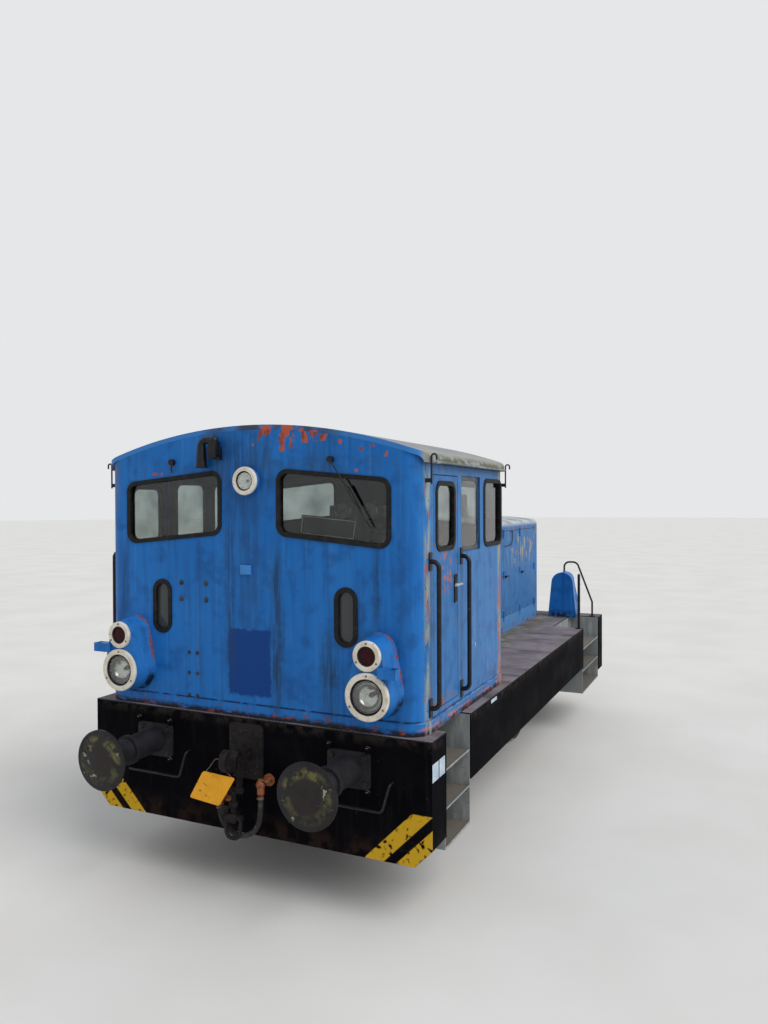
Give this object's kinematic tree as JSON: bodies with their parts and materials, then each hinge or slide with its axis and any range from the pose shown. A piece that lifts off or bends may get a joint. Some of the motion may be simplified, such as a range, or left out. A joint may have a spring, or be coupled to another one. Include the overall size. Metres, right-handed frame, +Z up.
{
  "type": "two-axle diesel shunting locomotive",
  "caption": "Small rail shunter with a wide cab at one end, narrow engine hood on a high frame, coupling rods from a jackshaft, opening cab and hood doors.",
  "frame": {"origin": "on the centre line, midway between the buffer faces, level with the lowest point of the wheel flanges", "axes": "+Z up, +Y along the track from the cab towards the hood, +X across the track to the right of the cab's front face as seen in the picture"},
  "size_m": [3.012, 7.9996, 3.5688],
  "materials": {
    "body_blue": "gloss paint, faded and rust stained",
    "roof_blue": "chalky faded paint with moss and red primer patches",
    "frame_black": "black paint under brake dust",
    "deck_grey": "worn chequer plate, dusty",
    "step_grey": "light grey paint, scuffed",
    "running_steel": "rusty cast steel, bright on the treads",
    "rod_steel": "greased forged steel",
    "gear_black": "oily black paint",
    "buffer_black": "black paint, greased face",
    "hook_steel": "rusty forged steel",
    "hose_rubber": "moulded rubber with fabric",
    "cock_orange": "orange paint, rusting",
    "seal_rubber": "glazing profile",
    "window_glass": "dusty safety glass",
    "sash_metal": "anodised, dull",
    "grille_blue": "paint, sooty",
    "exhaust_steel": "burnt and rusty",
    "rim_white": "off-white enamel, chipped",
    "reflector": "silvered bowl",
    "lamp_glass": "clear lens",
    "tail_glass": "dark red lens",
    "black_fittings": "black enamel",
    "floor_mat": "ribbed mat",
    "desk_grey": "hammered grey-green paint",
    "seat_hide": "black artificial leather"
  },
  "bodies": {
    "locomotive": {"deck_plate": "deck_grey", "side_skirts": "frame_black", "frame_plates": "frame_black", "frame_stays": "frame_black", "beam_cab_end": "frame_black", "beam_hood_end": "frame_black", "step_wells": "step_grey", "buffers": "buffer_black", "drawgear": "hook_steel", "brake_hose_cab_end": "hose_rubber", "brake_hose_hood_end": "hose_rubber", "brake_cocks": "cock_orange", "axle_boxes": "gear_black", "brake_gear": "gear_black", "rail_guards": "gear_black", "gearbox": "gear_black", "underfloor_tanks": "gear_black", "engine_block": "gear_black", "cab_walls": "body_blue", "cab_roof": "roof_blue", "cab_floor": "floor_mat", "driver_desk": "desk_grey", "driver_seat": "seat_hide", "cab_glass": "window_glass", "window_rubbers": "seal_rubber", "window_sashes": "sash_metal", "hood_shell": "body_blue", "hood_roof": "roof_blue", "hood_grilles": "grille_blue", "exhaust_stack": "exhaust_steel", "lamp_housings": "body_blue", "lamp_rims": "rim_white", "headlamp_reflectors": "reflector", "headlamp_lenses": "lamp_glass", "tail_lamp_lenses": "tail_glass", "horn": "black_fittings", "wipers": "black_fittings", "handrails": "black_fittings"},
    "wheelset_1": {"wheelset_1": "running_steel"},
    "wheelset_2": {"wheelset_2": "running_steel"},
    "jackshaft": {"jackshaft": "running_steel"},
    "coupling_rod_right": {"coupling_rod_right": "rod_steel"},
    "cab_door_right": {"cab_door_right": "body_blue", "cab_door_right_rubber": "seal_rubber", "cab_door_right_glass": "window_glass"},
    "hood_door_right_1": {"hood_door_right_1": "body_blue"},
    "hood_door_right_2": {"hood_door_right_2": "body_blue"},
    "hood_door_right_3": {"hood_door_right_3": "body_blue"},
    "coupling_rod_left": {"coupling_rod_left": "rod_steel"},
    "cab_door_left": {"cab_door_left": "body_blue", "cab_door_left_rubber": "seal_rubber", "cab_door_left_glass": "window_glass"},
    "hood_door_left_1": {"hood_door_left_1": "body_blue"},
    "hood_door_left_2": {"hood_door_left_2": "body_blue"},
    "hood_door_left_3": {"hood_door_left_3": "body_blue"}
  },
  "joints": [
    {"name": "wheelset_1_turn", "type": "hinge", "parent": "locomotive", "child": "wheelset_1", "pos_m": [0, -1.25, 0.53], "axis": [1, 0, 0], "continuous": true},
    {"name": "wheelset_2_turn", "type": "hinge", "parent": "locomotive", "child": "wheelset_2", "pos_m": [0, 1.25, 0.53], "axis": [1, 0, 0], "continuous": true},
    {"name": "jackshaft_turn", "type": "hinge", "parent": "locomotive", "child": "jackshaft", "pos_m": [0, 0, 0.53], "axis": [1, 0, 0], "continuous": true},
    {"name": "coupling_rod_right_pin", "type": "hinge", "parent": "wheelset_1", "child": "coupling_rod_right", "pos_m": [0.868, -1.25, 0.33], "axis": [1, 0, 0], "continuous": true},
    {"name": "coupling_rod_left_pin", "type": "hinge", "parent": "wheelset_1", "child": "coupling_rod_left", "pos_m": [-0.868, -1.05, 0.53], "axis": [1, 0, 0], "continuous": true},
    {"name": "cab_door_right_hinge", "type": "hinge", "parent": "locomotive", "child": "cab_door_right", "pos_m": [1.3705, -3.12, 2.33], "axis": [0, 0, 1], "range_deg": [0, 90]},
    {"name": "hood_door_right_1_hinge", "type": "hinge", "parent": "locomotive", "child": "hood_door_right_1", "pos_m": [0.6805, 1.179, 2.07], "axis": [0, 0, 1], "range_deg": [0, 90]},
    {"name": "hood_door_right_2_hinge", "type": "hinge", "parent": "locomotive", "child": "hood_door_right_2", "pos_m": [0.6805, 1.939, 2.07], "axis": [0, 0, 1], "range_deg": [0, 90]},
    {"name": "hood_door_right_3_hinge", "type": "hinge", "parent": "locomotive", "child": "hood_door_right_3", "pos_m": [0.6805, 2.699, 2.07], "axis": [0, 0, 1], "range_deg": [0, 90]},
    {"name": "cab_door_left_hinge", "type": "hinge", "parent": "locomotive", "child": "cab_door_left", "pos_m": [-1.3705, -3.12, 2.33], "axis": [0, 0, -1], "range_deg": [0, 90]},
    {"name": "hood_door_left_1_hinge", "type": "hinge", "parent": "locomotive", "child": "hood_door_left_1", "pos_m": [-0.6805, 1.179, 2.07], "axis": [0, 0, -1], "range_deg": [0, 90]},
    {"name": "hood_door_left_2_hinge", "type": "hinge", "parent": "locomotive", "child": "hood_door_left_2", "pos_m": [-0.6805, 1.939, 2.07], "axis": [0, 0, -1], "range_deg": [0, 90]},
    {"name": "hood_door_left_3_hinge", "type": "hinge", "parent": "locomotive", "child": "hood_door_left_3", "pos_m": [-0.6805, 2.699, 2.07], "axis": [0, 0, -1], "range_deg": [0, 90]}
  ],
  "couplings": [
    {"joint": "wheelset_2_turn", "follows": "wheelset_1_turn", "ratio": 1},
    {"joint": "jackshaft_turn", "follows": "wheelset_1_turn", "ratio": 1},
    {"joint": "coupling_rod_right_pin", "follows": "wheelset_1_turn", "ratio": -1},
    {"joint": "coupling_rod_left_pin", "follows": "wheelset_1_turn", "ratio": -1}
  ]
}
